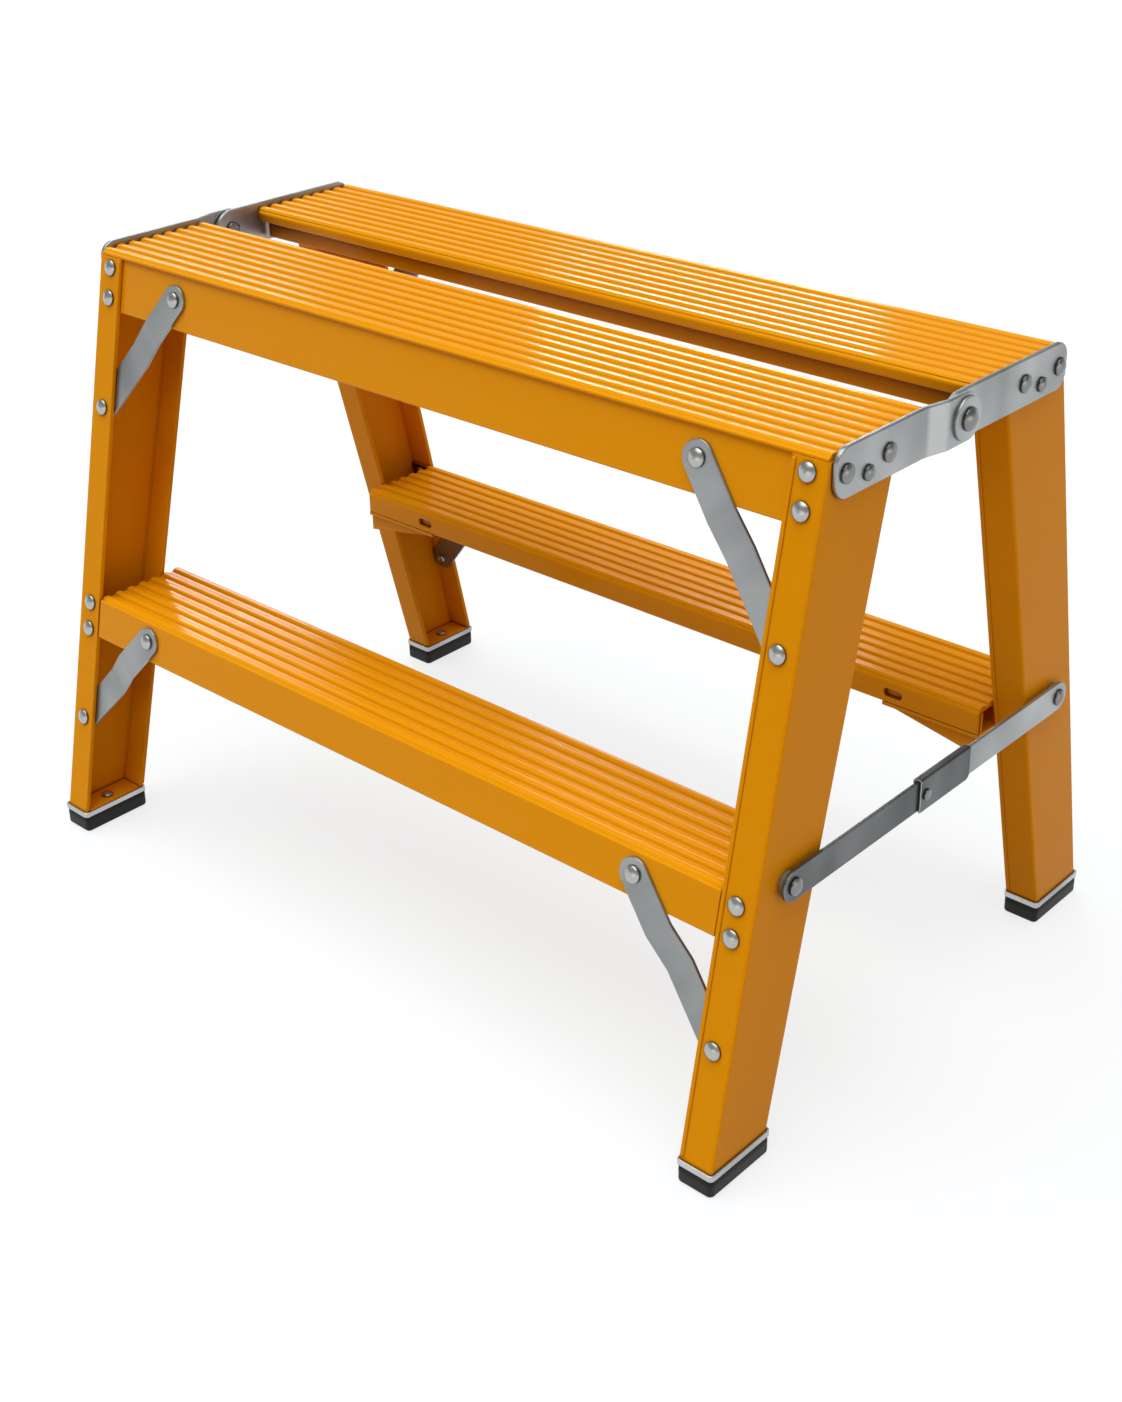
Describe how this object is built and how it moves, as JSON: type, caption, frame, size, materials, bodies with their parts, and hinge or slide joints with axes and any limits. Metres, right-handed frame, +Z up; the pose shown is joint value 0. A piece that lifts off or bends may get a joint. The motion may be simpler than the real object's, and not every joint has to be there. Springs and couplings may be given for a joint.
{
  "type": "sawhorse ladder",
  "caption": "Folding sawhorse ladder: hinged stepped frames of painted channel legs and ribbed treads, with steel braces, hinge straps, a jointed spreader at one end and rubber feet.",
  "frame": {"origin": "on the floor, at the centre of the standing ladder", "axes": "+Z up, +X along the steps, +Y from the front frame to the rear frame, with the front frame at -Y"},
  "size_m": [0.7518, 0.4818, 0.5005],
  "materials": {
    "orange_paint": "gloss",
    "galvanised_steel": "satin",
    "shoe_steel": "satin",
    "zinc_fasteners": "satin",
    "rubber": "matte",
    "nylon": "matte"
  },
  "bodies": {
    "front_frame": {"front_brace_rivets": "zinc_fasteners", "front_foot_plates": "orange_paint", "front_foot_screws": "zinc_fasteners", "front_left_foot_pad": "rubber", "front_left_foot_shoe": "shoe_steel", "front_left_leg": "orange_paint", "front_left_lower_brace": "galvanised_steel", "front_left_step_bracket": "orange_paint", "front_left_upper_brace": "galvanised_steel", "front_lower_step": "orange_paint", "front_right_foot_pad": "rubber", "front_right_foot_shoe": "shoe_steel", "front_right_leg": "orange_paint", "front_right_lower_brace": "galvanised_steel", "front_right_step_bracket": "orange_paint", "front_right_upper_brace": "galvanised_steel", "front_step_rivets": "zinc_fasteners", "front_strap_rivets": "zinc_fasteners", "front_top_step": "orange_paint", "hinge_rivets": "zinc_fasteners", "hinge_washers": "galvanised_steel", "left_front_strap": "galvanised_steel", "right_front_strap": "galvanised_steel", "spreader_front_rivet": "zinc_fasteners", "spreader_front_spacer": "nylon"},
    "rear_frame": {"left_rear_strap": "galvanised_steel", "rear_brace_rivets": "zinc_fasteners", "rear_foot_plates": "orange_paint", "rear_foot_screws": "zinc_fasteners", "rear_left_foot_pad": "rubber", "rear_left_foot_shoe": "shoe_steel", "rear_left_leg": "orange_paint", "rear_left_lower_brace": "galvanised_steel", "rear_left_step_bracket": "orange_paint", "rear_left_upper_brace": "galvanised_steel", "rear_lower_step": "orange_paint", "rear_right_foot_pad": "rubber", "rear_right_foot_shoe": "shoe_steel", "rear_right_leg": "orange_paint", "rear_right_lower_brace": "galvanised_steel", "rear_right_step_bracket": "orange_paint", "rear_right_upper_brace": "galvanised_steel", "rear_step_rivets": "zinc_fasteners", "rear_strap_rivets": "zinc_fasteners", "rear_top_step": "orange_paint", "right_rear_strap": "galvanised_steel", "spreader_rear_rivet_tail": "zinc_fasteners"},
    "spreader_front_link": {"spreader_front_bar": "galvanised_steel"},
    "spreader_rear_link": {"spreader_knuckle_rivet": "zinc_fasteners", "spreader_rear_bar": "galvanised_steel", "spreader_rear_rivet": "zinc_fasteners", "spreader_rear_spacer": "nylon", "spreader_sleeve": "galvanised_steel"}
  },
  "joints": [
    {"name": "fold", "type": "hinge", "parent": "front_frame", "child": "rear_frame", "pos_m": [0, 0, 0.4835], "axis": [-1, 0, 0], "range_deg": [0, 40]},
    {"name": "spreader_front_pivot", "type": "hinge", "parent": "front_frame", "child": "spreader_front_link", "pos_m": [0.3655, -0.16586, 0.213], "axis": [1, 0, 0], "range_deg": [0, 62]},
    {"name": "spreader_knuckle", "type": "hinge", "parent": "spreader_front_link", "child": "spreader_rear_link", "pos_m": [0.3655, -0.016, 0.213], "axis": [-1, 0, 0], "range_deg": [0, 137]}
  ],
  "couplings": [
    {"joint": "spreader_front_pivot", "follows": "fold", "ratio": 1.5444},
    {"joint": "spreader_knuckle", "follows": "fold", "ratio": 3.4104}
  ]
}
